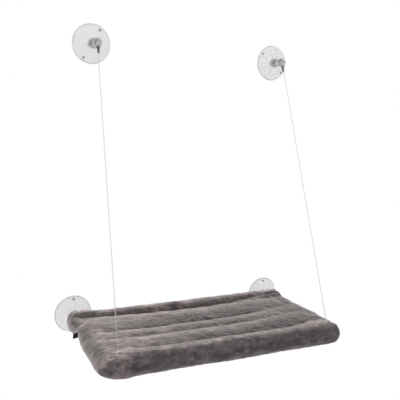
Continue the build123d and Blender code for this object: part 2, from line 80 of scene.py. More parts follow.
def setCamera():
    # turned about Z by the yaw, tipped down by the pitch, then rolled about its own view
    yaw, pitch, roll = (math.radians(cameraSet[key]) for key in ("yaw", "pitch", "roll"))
    data = bpy.data.cameras.new("camera")
    data.sensor_width = cameraSet["sensor"]
    data.lens = cameraSet["focalPixels"] / cameraSet["framePixels"] * cameraSet["sensor"]
    data.clip_start, data.clip_end = cameraSet["clip"]
    scene.camera = linked("camera", data)
    turn = Matrix.Rotation(-yaw, 4, "Z") @ Matrix.Rotation(math.pi / 2 - pitch, 4, "X")
    scene.camera.matrix_world = Matrix.Translation(cameraSet["place"]) @ turn @ Matrix.Rotation(roll, 4, "Z")


setCamera()


# Small helpers for node graphs
materials = {}


def newMaterial(name):
    materials[name] = material = bpy.data.materials.new(name)
    material.use_nodes = True
    return material.node_tree, material.node_tree.nodes["Principled BSDF"]


def fillSocket(socket, value):
    # links an output to the socket, or sets a constant on it
    if hasattr(value, "node"):
        socket.id_data.links.new(value, socket)
    elif socket.type == "RGBA" and len(value) == 3:
        socket.default_value = (*value, 1)
    else:
        socket.default_value = value


def addNode(tree, kind, inputs=None, **settings):
    node = tree.nodes.new(kind)
    setAll(node, **settings)
    for key, value in (inputs or {}).items():
        fillSocket(node.inputs[key], value)
    return node


def mathOf(tree, operation, *values):
    return addNode(tree, "ShaderNodeMath", dict(enumerate(values)), operation=operation).outputs[0]


def objectPlace(tree):
    return addNode(tree, "ShaderNodeTexCoord").outputs["Object"]


def partsOf(tree, place):
    return addNode(tree, "ShaderNodeSeparateXYZ", {"Vector": place}).outputs


def noiseOf(tree, scale, detail=3.0, rough=0.55, stretch=(1, 1, 1), twist=0.0):
    spread = addNode(tree, "ShaderNodeMapping", {"Vector": objectPlace(tree), "Scale": stretch})
    noise = addNode(tree, "ShaderNodeTexNoise", {"Vector": spread.outputs[0], "Scale": scale, "Detail": detail,
                                                 "Roughness": rough, "Distortion": twist})
    return noise.outputs[0]


def rampOf(tree, factor, stops):
    ramp = addNode(tree, "ShaderNodeValToRGB", {"Fac": factor})
    while len(ramp.color_ramp.elements) < len(stops):
        ramp.color_ramp.elements.new(0.5)
    for element, (place, colour) in zip(ramp.color_ramp.elements, stops):
        element.position = place
        element.color = (*colour, 1)
    return ramp.outputs[0]


def rangeOf(tree, value, fromMin, fromMax, toMin, toMax):
    return addNode(tree, "ShaderNodeMapRange", {"Value": value, "From Min": fromMin, "From Max": fromMax,
                                                "To Min": toMin, "To Max": toMax}).outputs[0]


def blendColours(tree, factor, first, second, mode="MIX"):
    # sockets 0, 6 and 7 are the factor and the two colours
    sockets = {0: factor, 6: first, 7: second}
    return addNode(tree, "ShaderNodeMix", sockets, data_type="RGBA", blend_type=mode).outputs[2]


def timesColour(tree, first, second):
    return blendColours(tree, 1.0, first, second, "MULTIPLY")


def patchedColour(tree, colour, wear, scale, start, end):
    # the colour with broad patches that are darker by the share of wear
    darker = tuple(channel * (1 - wear) for channel in colour)
    return rampOf(tree, noiseOf(tree, scale, 3, 0.6), [(start, darker), (end, colour)])


def addBump(shader, *heights):
    # each height is (output, strength, distance), chained from coarse to fine
    inputs = {}
    for height in heights:
        inputs.update(zip(("Height", "Strength", "Distance"), height))
        inputs["Normal"] = addNode(shader.id_data, "ShaderNodeBump", inputs).outputs[0]
    fillSocket(shader.inputs["Normal"], inputs["Normal"])


def setSockets(shader, **values):
    for key, value in values.items():
        fillSocket(shader.inputs[key.replace("_", " ")], value)


def grey(value):
    return (value, value, value)


# Materials
plushSet = {"shade": (0.152, 0.127, 0.128), "light": (0.218, 0.186, 0.185), "deep": (0.092, 0.073, 0.074),
            "cool": (0.142, 0.136, 0.130), "sheenTint": (0.95, 0.86, 0.85)}


def makePlush():
    # short pile whose tone varies in patches; the cover's point attribute of painted light and shade makes it lighter
    # or darker by place
    tree, shader = newMaterial("greyPlush")
    paintedShading = addNode(tree, "ShaderNodeAttribute", attribute_name="paintedShading").outputs["Fac"]
    patches = noiseOf(tree, 34, 4, 0.62, (0.55, 1.0, 1.0), 0.6)
    mottle = noiseOf(tree, 125, 3, 0.6, (0.7, 1.15, 1.0), 0.3)
    fibre = noiseOf(tree, 800, 2, 0.6, (1.0, 0.6, 0.6))
    hue = noiseOf(tree, 18, 2, 0.5)
    tufts = noiseOf(tree, 68, 2, 0.5, (0.7, 1.0, 1.0), 0.5)
    colour = rampOf(tree, patches, [(0.34, plushSet["deep"]), (0.50, plushSet["shade"]), (0.66, plushSet["light"])])
    clumps = rampOf(tree, tufts, [(0.38, grey(0.64)), (0.50, grey(1.0)), (0.62, grey(1.34))])
    softer = rampOf(tree, mottle, [(0.32, grey(0.76)), (0.50, grey(1.0)), (0.68, grey(1.22))])
    colour = timesColour(tree, timesColour(tree, colour, clumps), softer)
    colour = blendColours(tree, rangeOf(tree, hue, 0.48, 0.62, 0.0, 0.5), colour, plushSet["cool"])
    grain = rampOf(tree, fibre, [(0.30, grey(0.70)), (0.62, grey(1.15))])
    # painted light and shade: the cover's attribute scales the colour from none to double
    colour = timesColour(tree, timesColour(tree, colour, grain), rangeOf(tree, paintedShading, -1, 1, 0, 2))
    setSockets(shader, Base_Color=colour, Roughness=0.95, Diffuse_Roughness=0.6, Specular_IOR_Level=0.08,
               Sheen_Weight=0.5, Sheen_Roughness=0.45, Sheen_Tint=plushSet["sheenTint"])
    addBump(shader, (patches, 0.5, 0.0035), (mottle, 0.7, 0.0022), (fibre, 0.7, 0.0006))


def makeVinyl(name, light, dark):
    # clear soft vinyl with a faint cloudiness and moulding grain, a little clearer towards +X
    tree, shader = newMaterial(name)
    colour = rampOf(tree, noiseOf(tree, 40, 2, 0.5), [(0.3, dark), (0.7, light)])
    across = partsOf(tree, objectPlace(tree))["X"]
    colour = blendColours(tree, rangeOf(tree, across, -0.2, 0.2, 0, 0.3), colour, grey(1.0))
    setSockets(shader, Base_Color=colour, Roughness=0.4, IOR=1.40, Transmission_Weight=0.80, Coat_Weight=0.3,
               Coat_Roughness=0.15)
    addBump(shader, (noiseOf(tree, 260, 2, 0.5), 0.04, 0.0004))


def makeMetal(name, colour, roughness, wear):
    tree, shader = newMaterial(name)
    fine = noiseOf(tree, 700, 3, 0.6)
    setSockets(shader, Base_Color=patchedColour(tree, colour, wear, 90, 0.3, 0.65), Metallic=1.0,
               Roughness=rangeOf(tree, fine, 0.3, 0.7, roughness * 0.75, roughness * 1.3))
    addBump(shader, (fine, 0.15, 0.0002))


def makePlastic(name, colour, roughness, grain=1400):
    tree, shader = newMaterial(name)
    setSockets(shader, Base_Color=patchedColour(tree, colour, 0.14, 60, 0.35, 0.65), Roughness=roughness,
               Specular_IOR_Level=0.45)
    addBump(shader, (noiseOf(tree, grain, 2, 0.5), 0.2, 0.0003))


def makeCoating():
    # clear coating over twisted wire: slanted stripes on the tube's own map, u along it and v round it
    tree, shader = newMaterial("coatedCable")
    wireLay, wires = 0.0012, 7
    parts = partsOf(tree, addNode(tree, "ShaderNodeUVMap", uv_map="cloth").outputs[0])
    along = mathOf(tree, "MULTIPLY", parts["X"], 2 * math.pi / wireLay)
    about = mathOf(tree, "MULTIPLY", parts["Y"], 2 * math.pi * wires)
    stripes = rangeOf(tree, mathOf(tree, "SINE", mathOf(tree, "ADD", along, about)), -1, 1, 0, 1)
    setSockets(shader, Base_Color=rampOf(tree, stripes, [(0.1, grey(0.80)), (0.7, grey(0.90))]),
               Transmission_Weight=0.88, IOR=1.35, Roughness=0.14, Specular_IOR_Level=0.2)
    addBump(shader, (stripes, 0.2, 0.0002))


def makeWeave(name, colour, thread, fuzz):
    # plain woven cloth: crossed threads as two sine waves on Object coordinates
    tree, shader = newMaterial(name)
    parts = partsOf(tree, objectPlace(tree))
    waves = [mathOf(tree, "SINE", mathOf(tree, "MULTIPLY", parts[axis], 2 * math.pi / thread)) for axis in ("X", "Y")]
    level = rangeOf(tree, mathOf(tree, "MULTIPLY", *waves), -1, 1, 0, 1)
    threads = rampOf(tree, level, [(0.2, grey(0.7)), (0.8, grey(1.1))])
    setSockets(shader, Base_Color=timesColour(tree, patchedColour(tree, colour, 0.4, 70, 0.3, 0.7), threads),
               Roughness=0.88, Sheen_Weight=fuzz, Sheen_Roughness=0.5, Specular_IOR_Level=0.2)
    addBump(shader, (level, 0.4, 0.0003), (noiseOf(tree, 1500, 2, 0.5), 0.3, 0.0002))


makePlush()
makeVinyl("clearVinyl", (0.945, 0.938, 0.942), (0.928, 0.92, 0.924))
makeVinyl("nubVinyl", grey(0.55), grey(0.42))
# the lip's thicker vinyl is tinted darker as painted shade for the rim that refraction darkens
makeVinyl("shadedRimVinyl", (0.88, 0.865, 0.87), (0.85, 0.835, 0.84))
makeMetal("brightMetal", grey(0.95), 0.38, 0.12)
makeMetal("zincSteel", (0.93, 0.93, 0.94), 0.44, 0.15)
makeMetal("crimpMetal", (0.30, 0.29, 0.29), 0.36, 0.35)
makeMetal("zipMetal", (0.18, 0.18, 0.185), 0.38, 0.3)
makeCoating()
makePlastic("whitePlastic", (0.82, 0.82, 0.81), 0.3)
makePlastic("framePlastic", (0.022, 0.022, 0.024), 0.5)
makePlastic("frameSteel", (0.035, 0.035, 0.037), 0.36, 800)
makePlastic("zipPlastic", (0.030, 0.028, 0.028), 0.42)
makePlastic("threadCotton", (0.060, 0.055, 0.055), 0.7)
makeWeave("tagCloth", (0.017, 0.017, 0.018), 0.0006, 0.15)
makeWeave("undersideCloth", (0.050, 0.046, 0.047), 0.0010, 0.35)
print("materials made")


# Small helpers for meshes
def gridMesh(name, points, closeAround=False, closeAlong=False, flip=False, uv=None, weld=0.0, paintedShading=None, every=0):
    # points[i, j] is a grid of places: i runs along the piece, j runs around it, and every so many rows part it
    along, around = points.shape[:2]
    rows = np.arange(along if closeAlong else along - 1)
    rows = rows[(rows + 1) % every > 0] if every else rows
    columns = np.arange(around if closeAround else around - 1)
    i, j = (index.ravel() for index in np.meshgrid(rows, columns, indexing="ij"))
    nextI, nextJ = (i + 1) % along, (j + 1) % around
    corners = np.stack([i * around + j, nextI * around + j, nextI * around + nextJ, i * around + nextJ], 1)
    way = -1 if flip else 1
    mesh = bpy.data.meshes.new(name)
    mesh.from_pydata(points.reshape(-1, 3).tolist(), [], corners[:, ::way].tolist())
    if uv is not None:
        spans = [np.stack([uv[0][i + k], uv[1][j + m]], 1) for k, m in ((0, 0), (1, 0), (1, 1), (0, 1))]
        layer = mesh.uv_layers.new(name="cloth")
        layer.data.foreach_set("uv", np.stack(spans, 1)[:, ::way].astype(np.float32).ravel())
    # a point attribute of painted light and shade, which the plush's colour reads
    if paintedShading is not None:
        mesh.attributes.new("paintedShading", "FLOAT", "POINT").data.foreach_set("value", paintedShading.astype(np.float32).ravel())
    if weld:
        shape = bmesh.new()
        shape.from_mesh(mesh)
        bmesh.ops.remove_doubles(shape, verts=shape.verts, dist=weld)
        loose = [vertex for vertex in shape.verts if not vertex.link_faces]
        bmesh.ops.delete(shape, geom=loose, context="VERTS")
        shape.to_mesh(mesh)
        shape.free()
    mesh.shade_smooth()
    return linked(name, mesh)


def placesOf(mesh):
    places = np.empty(len(mesh.vertices) * 3)
    mesh.vertices.foreach_get("co", places)
    return places.reshape(-1, 3)


def removeMesh(piece):
    old = piece.data
    bpy.data.objects.remove(piece)
    bpy.data.meshes.remove(old)


def joinPieces(name, pieces):
    # one mesh out of several, each keeping its own material
    shape = bmesh.new()
    joined = []
    for piece in pieces:
        start = len(shape.faces)
        shape.from_mesh(piece.data)
        shape.faces.ensure_lookup_table()
        material = piece.data.materials[0]
        if material not in joined:
            joined.append(material)
        for face in shape.faces[start:]:
            face.material_index = joined.index(material)
    mesh = bpy.data.meshes.new(name)
    shape.to_mesh(mesh)
    shape.free()
    for material in joined:
        mesh.materials.append(material)
    for piece in pieces:
        removeMesh(piece)
    return linked(name, mesh)


def finishPiece(piece, body, slot, *replaced):
    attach(piece, body)
    if replaced:
        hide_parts(*replaced)


def dressed(piece, material):
    piece.data.materials.clear()
    piece.data.materials.append(materials[material])
    return piece


def thickened(piece, thickness, offset):
    setAll(piece.modifiers.new("thickness", "SOLIDIFY"), thickness=thickness, offset=offset)


def smoothStep(value, low, high):
    part = np.clip((value - low) / (high - low), 0, 1)
    return part * part * (3 - 2 * part)


def fadeOut(value, low, high):
    # one up to low and nothing from high on
    return smoothStep(-value, -high, -low)


def summed(steps):
    return np.concatenate([[0], np.cumsum(steps)])


def runLengths(line):
    # how far each place lies along the line through them all
    return summed(np.linalg.norm(np.diff(line, axis=0), axis=1))


def roundTurn(count):
    return np.arange(count) / count * 2 * math.pi


def blurredLine(at, places, values, blur):
    # straight runs through (place, value) knots, smoothed over the blur's width
    fine = np.linspace(min(places) - 3 * blur, max(places) + 3 * blur, 1201)
    step = fine[1] - fine[0]
    reach = np.arange(-int(3 * blur / step), int(3 * blur / step) + 1) * step
    weights = np.exp(-(reach / blur) ** 2)
    line = np.pad(np.interp(fine, places, values), len(reach) // 2, mode="edge")
    return np.interp(at, fine, np.convolve(line, weights / weights.sum(), mode="valid"))


def softCorners(outline, size, steps=4):
    # each inner corner of an outline becomes a short quadratic curve that starts size away from it
    outline = np.asarray(outline, float)
    line = [outline[0]]
    for before, corner, after in zip(outline, outline[1:], outline[2:]):
        back, ahead = np.linalg.norm(before - corner), np.linalg.norm(after - corner)
        reach = min(size, 0.45 * back, 0.45 * ahead)
        start, end = corner + (before - corner) / back * reach, corner + (after - corner) / ahead * reach
        part = np.linspace(0, 1, steps)[:, None]
        line.extend((1 - part) ** 2 * start + 2 * part * (1 - part) * corner + part ** 2 * end)
    line.append(outline[-1])
    return np.array(line)


def turnedPiece(name, outline, centre, material, segments=72, reshape=None):
    # (radius, depth) outline in mm, turned about the line through centre along Y; reshape alters its radii
    turn = roundTurn(segments)[:, None]
    radius = outline[None, :, 0] + 0 * turn
    depth = outline[None, :, 1] + 0 * turn
    if reshape:
        radius = reshape(radius, turn, depth)
    across, up = radius * mm * np.cos(turn), radius * mm * np.sin(turn)
    points = np.stack([centre.x + across, -depth * mm, centre.z + up], 2)
    return dressed(gridMesh(name, points, closeAlong=True, weld=1e-6), material)


def latticeNoise(points, size, seed):
    # smooth value noise: random numbers on a lattice of size mm, blended by smoothstep, from -1 to 1
    spread = points / (size * mm) + seed * 17.31
    cell = np.floor(spread).astype(np.int64)
    part = spread - cell
    part = part * part * (3 - 2 * part)
    total = 0.0
    for corner in range(8):
        step = np.array([corner & 1, corner >> 1 & 1, corner >> 2 & 1])
        key = (cell + step) @ np.array([73856093, 19349663, 83492791])
        key = (key ^ (key >> 13)) * 1274126177 & 0x7FFFFFFF
        value = ((key ^ (key >> 16)) & 0xFFFF) / 32767.5 - 1
        total = total + value * np.prod(np.where(step == 1, part, 1 - part), axis=-1)
    return total


# Cables: each route lies in its own leaning plane, x across it and y up the run, from the middle of the stud's loop
cableSet = {"diameter": 2 * mm, "length": 698.8 * mm, "upperX": 233.5 * mm, "loopY": -45.7 * mm,
            "loopZ": 598.1 * mm, "anchorX": 249.0 * mm, "anchorY": -280.0 * mm, "overEnd": 10.9 * mm, "sides": 12,
            "steps": 40, "bendFrom": 0.2,
            # spline points in mm: up the tail, round the stud and down into the run
            "loop": ((-1.1, -22.1), (-1.1, -11), (-6.5, -2), (-6.5, 6.5), (6.5, 6.5), (6.5, -2), (1.1, -11),
                     (1.1, -23))}


def cablePlane(sign):
    start = Vector((sign * cableSet["upperX"], cableSet["loopY"], cableSet["loopZ"]))
    end = Vector((sign * cableSet["anchorX"], cableSet["anchorY"], 0))
    up = (start - end).normalized()
    across = Vector((sign, 0, 0))
    across = (across - up * across.dot(up)).normalized()
    return start, across, up, (end - start).length


def onPlane(plane, across, up):
    return plane[0] + plane[1] * across + plane[2] * up


def cableRoute(plane):
    local = [*np.array(cableSet["loop"]) * mm, (cableSet["loop"][-1][0] * mm, -(plane[3] + cableSet["overEnd"]))]
    return [onPlane(plane, float(across), float(up)) for across, up in local]


def splineLine(name, route):
    curve = bpy.data.curves.new(name, "CURVE")
    curve.dimensions = "3D"
    spline = curve.splines.new("NURBS")
    spline.points.add(len(route) - 1)
    for point, place in zip(spline.points, route):
        point.co = (*place, 1)
    setAll(spline, order_u=3, use_endpoint_u=True, resolution_u=cableSet["steps"])
    holder = linked(name, curve)
    mesh = bpy.data.meshes.new_from_object(holder)
    line = placesOf(mesh)
    bpy.data.objects.remove(holder)
    bpy.data.curves.remove(curve)
    bpy.data.meshes.remove(mesh)
    return line


def shutEnds(points, line):
    # the first and last place of the line close a tube's end rings
    shut = np.broadcast_to(line[[0, -1], None], (2, *points.shape[1:]))
    return np.concatenate([shut[:1], points, shut[1:]])


def tubeAlong(name, line, normal, radius):
    # round tube on a line in one plane: P + r (N cos a + (T x N) sin a), shut at both ends
    tangent = np.gradient(line, axis=0)
    tangent /= np.linalg.norm(tangent, axis=1)[:, None]
    sideways = np.cross(tangent, normal)
    turn = roundTurn(cableSet["sides"])
    ring = normal * np.cos(turn)[:, None] + sideways[:, None] * np.sin(turn)[:, None]
    points = shutEnds(line[:, None] + radius * ring, line)
    run = runLengths(line)
    along = np.concatenate([[0], run, run[-1:]])
    around = np.arange(cableSet["sides"] + 1) / cableSet["sides"]
    return gridMesh(name, points, closeAround=True, uv=(along, around), weld=1e-7)


crimpSet = {"start": 7.6 * mm, "length": 14.0 * mm, "halfWidth": 2.9 * mm, "halfDepth": 1.8 * mm, "flare": 0.5,
            "taper": 0.13, "pinches": (0.5, 0.78), "pinchDepth": 0.14, "pinchReach": 0.07, "rows": 37, "sides": 28,
            "squareness": 0.8}


def makeCrimp(side, plane):
    # ferrule over both strands: a flattened oval, wider where the loop opens, that the press has pinched twice
    node = f"{side}_cable_crimp"
    part = np.concatenate([[0, 0.004], np.linspace(0.02, 0.98, crimpSet["rows"]), [0.996, 1]])
    pinch = sum(np.exp(-((part - place) / crimpSet["pinchReach"]) ** 2) for place in crimpSet["pinches"])
    scale = (1 - crimpSet["pinchDepth"] * pinch) * np.concatenate([[0.72, 0.93], np.ones(crimpSet["rows"]),
                                                                   [0.93, 0.72]])
    widen = scale * (1 + crimpSet["flare"] * (1 - smoothStep(part, 0, 0.42))) * (1 - crimpSet["taper"] * part)
    turn = roundTurn(crimpSet["sides"])
    wide, deep = (crimpSet[key] * np.sign(wave) * np.abs(wave) ** crimpSet["squareness"]
                  for key, wave in (("halfWidth", np.cos(turn)), ("halfDepth", np.sin(turn))))
    start, over, up = (np.array(vector) for vector in plane[:3])
    places = start - up * (crimpSet["start"] + part[:, None] * crimpSet["length"])
    oval = over * wide[:, None]
    depth = np.cross(over, up) * deep[:, None]
    points = places[:, None] + oval[None] * widen[:, None, None] + depth[None] * scale[:, None, None]
    crimp = gridMesh(node + "_pressed", shutEnds(points, places), closeAround=True, weld=1e-7)
    finishPiece(dressed(crimp, "crimpMetal"), "window_side", "crimp_metal", node)
    return crimp


def makeCable(side, sign):
    plane = cablePlane(sign)
    line = splineLine(f"{side}_route", cableRoute(plane))
    normal = np.cross(np.array(plane[1]), np.array(plane[2]))
    cable = dressed(tubeAlong(f"{side}_coated_cable", line, normal, cableSet["diameter"] / 2), "coatedCable")
    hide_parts(f"{side}_cable")
    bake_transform(cable)
    crimp = makeCrimp(side, plane)


for side, sign in sides.items():
    makeCable(side, sign)
print("cables made")


# Suction cups, turned about their studs: outlines are (radius, depth out of the glass) in mm
cupSet = {"outline": ((0, 2.2), (14, 2.1), (27, 1.3), (35.6, 0.1), (41.2, 0.06), (41.2, 1.45), (39.4, 1.5),
                      (38.6, 1.9), (32.4, 3.1), (22.2, 6.0), (16.0, 8.9), (13.4, 9.9), (11.3, 12.0), (11.0, 14.6),
                      (10.5, 15), (4.6, 15), (3.1, 14.4), (3.1, 8.1), (7.6, 8.0), (7.6, 5.9), (0, 5.9)),
          "lip": ((41.1, 0.05), (42.3, 0.05), (42.6, 0.7), (42.2, 1.7), (41.3, 2.1), (40.6, 1.8), (40.9, 1.2),
                  (41.1, 0.05)),
          "nub": ((0, 2.4), (2.6, 2.4), (2.6, 4.8), (1.3, 4.8), (1.04, 4.1), (0, 4.1)), "nubCircle": 35.0,
          "nubTurns": {"upper_left": 60, "upper_right": 144, "lower_left": 90, "lower_right": 90}}


def makeCup(name):
    centre = middleOf(f"{name}_cup")
    # the lip's vinyl is tinted darker, painted shade for its refraction-darkened rim
    pieces = [turnedPiece(f"{name}_vinyl", softCorners(cupSet["outline"], 1.6, 6), centre, "clearVinyl", 128),
              turnedPiece(f"{name}_lip", np.array(cupSet["lip"]), centre, "shadedRimVinyl", 128)]
    nub = softCorners(cupSet["nub"], 0.5)
    for turn in (cupSet["nubTurns"][name], cupSet["nubTurns"][name] + 180):
        angle, reach = math.radians(turn), cupSet["nubCircle"] * mm
        place = Vector((centre.x + reach * math.cos(angle), 0, centre.z + reach * math.sin(angle)))
        pieces.append(turnedPiece(f"{name}_nub", nub, place, "nubVinyl", 24))
    finishPiece(joinPieces(f"{name}_moulded_cup", pieces), "window_side", "clear_vinyl", f"{name}_cup")


# Screws, washers and nuts on the cups, sizes in mm from the glass
screwSet = {"radius": 3.0, "pitch": 1.0, "threadDepth": 0.3, "threadFrom": 21.0, "point": 1.2, "acrossFlats": 10.0,
            "nutDepth": 5.0, "reach": {"upper": 53.5, "lower": 38.0},
            "head": ((0, 6.0), (7.2, 6.0), (7.5, 6.3), (7.5, 7.7), (7.2, 8.0), (3.3, 8.0), (3.0, 8.4)),
            # where each nut starts, then each washer's outer radius, near face and far face
            "lock_nut": 16.6, "back_nut": 35.2, "washer": (11, 15, 16.6), "loop_washer": (10, 40.2, 42)}


def zincPiece(name, node, outline, segments, reshape=None):
    piece = turnedPiece(name, outline, middleOf(node), "zincSteel", segments, reshape)
    finishPiece(piece, "window_side", "zinc_steel", node)


def makeStud(name, reach):
    # thread: the radius falls by a triangle wave of depth / pitch - turn along its threaded stretch
    start, end = screwSet["threadFrom"], reach - screwSet["point"]
    rows = np.arange(start, end, screwSet["pitch"] / 8)
    shank = np.stack([np.full(rows.shape, screwSet["radius"]), rows], 1)
    outline = np.concatenate([screwSet["head"], shank, [(2.7, end + 0.2), (2.0, reach), (0, reach)]])

    def threaded(radius, turn, depth):
        wave = depth / screwSet["pitch"] - turn / (2 * math.pi)
        wave = np.abs(2 * (wave - np.floor(wave)) - 1)
        return radius - (depth >= start) * (depth <= end) * wave * screwSet["threadDepth"]

    zincPiece(f"{name}_threaded_stud", f"{name}_stud", outline, 28, threaded)


def makeHexNut(name, kind):
    # the lesser of the hexagon's edge and a chamfered turned outline
    flat, deep = screwSet["acrossFlats"] / 2, screwSet["nutDepth"]
    near = np.array([(3.05, 0.4), (3.45, 0), (flat * 0.97, 0), (flat * 1.06, 0.35),
                     (flat / math.cos(math.pi / 6), 0.75)])
    far = near[::-1] * (1, -1) + (0, deep)

    def hexagonal(radius, turn, depth):
        sector = (turn + math.pi / 6) % (math.pi / 3) - math.pi / 6
        return np.minimum(radius, flat / np.cos(sector))

    outline = np.concatenate([near, far, near[:1]]) + (0, screwSet[kind])
    zincPiece(f"{name}_{kind}_chamfered", f"{name}_{kind}", outline, 96, hexagonal)


def makeWasher(name, kind):
    outer, near, far = screwSet[kind]
    outline = softCorners([(3.1, near), (outer, near), (outer, far), (3.1, far)], 0.35)
    zincPiece(f"{name}_{kind}_pressed", f"{name}_{kind}", np.concatenate([outline, outline[:1]]), 64)


thumbSet = {"radius": 5.05, "grip": (46.2, 53.4), "base": ((3.05, 45.6), (3.4, 45.2), (4.3, 45.2), (4.9, 45.6)),
            "dome": ((4.85, 54.2), (4.2, 55.1), (3.0, 55.6), (1.5, 55.75), (0, 55.75)), "knurls": 20,
            "knurlDepth": 0.5, "knurled": (45.9, 53.6)}


def makeThumbNut(side):
    # knurled cap nut: its radius falls by a sharpened cosine of the turn
    node = f"upper_{side}_thumb_nut"
    grip = np.stack([np.full(10, thumbSet["radius"]), np.linspace(*thumbSet["grip"], 10)], 1)
    outline = np.concatenate([thumbSet["base"], grip, thumbSet["dome"]])
    near, far = thumbSet["knurled"]

    def knurled(radius, turn, depth):
        groove = np.clip(np.cos(thumbSet["knurls"] * turn), 0, 1) ** 0.7
        return radius - (depth > near) * (depth < far) * thumbSet["knurlDepth"] * groove

    nut = turnedPiece(f"{node}_knurled", outline, middleOf(node), "brightMetal", 160, knurled)
    finishPiece(nut, f"{side}_thumb_nut_body", "bright_metal", node)


for level in ("upper", "lower"):
    for side in sides:
        name = f"{level}_{side}"
        makeCup(name)
        makeStud(name, screwSet["reach"][level])
        makeWasher(name, "washer")
        makeHexNut(name, "lock_nut")
for side in sides:
    makeHexNut(f"upper_{side}", "back_nut")
    makeWasher(f"upper_{side}", "loop_washer")
    makeThumbNut(side)
print("cups and screws made")


# Padded cover, one closed surface: i runs along X and j runs round the section, up the rear edge, over the top
# to the front, down the front edge and back underneath. Distances are from the rear edge, in mm
coverLow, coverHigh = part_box("plush_cover")
coverSet = {
    "half": 275 * mm, "rear": coverHigh.y, "front": coverLow.y, "low": -31 * mm, "top": 15 * mm,
    "corner": 28 * mm,
    # (distance, drop below the rails) along the section: rail, three padded channels between seams, rail
    "section": (
        (23, 0), (27, 1.3), (31.4, 4.7), (34.2, 10), (36.5, 14.3), (40, 13.6), (47, 11.2), (54, 8.8), (61, 7.2),
        (68, 6.7), (76, 7.4), (88, 9.6), (99, 12.1), (108, 14), (113.8, 14.8), (118, 13.2), (124, 10), (130, 8.5),
        (138, 8.4), (148, 9.5), (155, 10.8), (160, 11.6), (164, 11), (170, 9.4), (178, 8.6), (188, 9.4),
        (198, 11.4), (208, 14), (216, 16), (222, 16.8), (226.5, 15.4), (231, 11.2), (236.6, 6.5), (243, 3.1),
        (250, 0.9), (257, 0)),
    "seams": (36, 113.8, 160, 223),
    # the same for a sheet laid over the crests alone
    "hull": ((23, 0), (31.4, 4.7), (36, 7.5), (68, 6.7), (135.1, 8.4), (182.8, 8.8), (223, 12), (236.6, 6.5),
             (257, 0)),
    # shares of the sag and of the seams' depth, at places along the half length, from the left end to the right
    "sag": ((-0.97, -0.87, -0.66, -0.5, -0.36, -0.2, 0.25, 0.45, 0.655, 0.87, 0.97),
            (0, 0.14, 0.42, 0.6, 0.88, 1, 1, 0.95, 0.5, 0.14, 0)),
    "seam": ((-0.93, -0.84, -0.70, -0.2, 0.25, 0.5, 0.75, 0.88), (0, 0.85, 1, 1, 0.95, 0.6, 0.3, 0)),
    "rearSeam": ((-0.98, -0.92, -0.8, -0.5, -0.3, 0.25, 0.45, 0.655, 0.87, 0.97),
                 (0, 0.95, 1.1, 1.1, 1, 1, 0.95, 0.6, 0.3, 0)),
    # how far in mm the seams swing forward, at such places
    "swing": ((-0.95, -0.75, -0.5, -0.2, 0.3), (17, 15, 10, 1.5, 0)),
    # ends: reach and power of the round in height, then of the corner in plan
    "leftEnd": (44 * mm, 2.1, 30 * mm, 2.6), "rightEnd": (17 * mm, 2.7, 24 * mm, 2.8),
    # how far the left end bulges out at places along its depth, and how far the rear rail stands up along X
    "bulge": ((-305, 11), (-290, 16), (-262, 18), (-236, 15), (-174, 12), (-140, 8), (-108, 2), (-85, 3), (-60, 8),
              (-25, 7)),
    "rise": ((-0.285, 7), (-0.245, 7), (-0.225, 4), (-0.2, 2), (-0.12, 3), (-0.07, 3.6), (-0.013, 3.8), (0.04, 5),
             (0.10, 6), (0.16, 7), (0.22, 8.5), (0.285, 8.5)),
    # how much flatter the front of the left end lies, and how far its corner leans back for each mm of height
    "slump": 0.2, "lean": 0.12,
    # painted light and shade along the section, lighter where slopes face the light from behind and darker where they
    # face forward; how strongly along the half length; and a broad painted falloff of light that darkens the pile
    # towards the right end
    "paintedShading": ((15, 0.1), (26, 0.45), (34, 0.42), (37, 0.15), (42, 0.28), (48, 0.34), (56, 0.1), (70, -0.12), (90, -0.30),
            (106, -0.34), (117, -0.1), (126, 0.24), (132, 0.12), (145, -0.12), (152, -0.22), (160, -0.05), (170, 0.08),
            (180, 0.02), (195, -0.24), (210, -0.36), (222, -0.14), (230, 0.30), (236, 0.12), (246, -0.1), (257, -0.1)),
    "paintedShadingReach": ((-0.95, -0.8, -0.6, -0.4, 0.4, 0.7, 0.95), (0.25, 0.55, 0.9, 1, 1, 0.7, 0.4)),
    "turn": ((-0.9, -0.5, 0, 0.5, 1), (0, -0.17, -0.35, -0.48, -0.54)),
    "frontPaintedFalloff": ((-0.9, -0.5, 0, 0.5, 1), (0.05, 0, -0.04, -0.1, -0.18)),
    "columnsTop": 190, "columnsEdge": 40, "rowsTurn": 26, "rowStep": 2.1 * mm, "slitStep": 0.8 * mm,
    "tubeY": -50 * mm, "slitX": 257 * mm, "slitHalf": 6.2 * mm, "slitTurns": (-17, 77), "slitFloor": 10.4 * mm,
    # underneath, the plush stops short of this half length and of these distances, and lies at this level
    "panel": (248 * mm, -52 * mm, -278 * mm), "panelLevel": -29.4 * mm,
}
railFeet = (23, 257)


def endInset(distance, depth, reach, power):
    # how far a rounded end draws in by its depth, at a distance from its tip
    inside = np.clip(1 - distance / reach, 0, 1)
    return depth * (1 - (1 - inside ** power) ** (1 / power))


def sectionDrop(across):
    return blurredLine(across, *zip(*coverSet["section"]), 1.2)


def evenAcross(count):
    # distances that cut the top's outline into even lengths
    fine = np.linspace(*railFeet, 4000)
    length = summed(np.hypot(np.diff(fine), np.diff(sectionDrop(fine))))
    return np.interp(np.linspace(0, length[-1], count), length, fine)


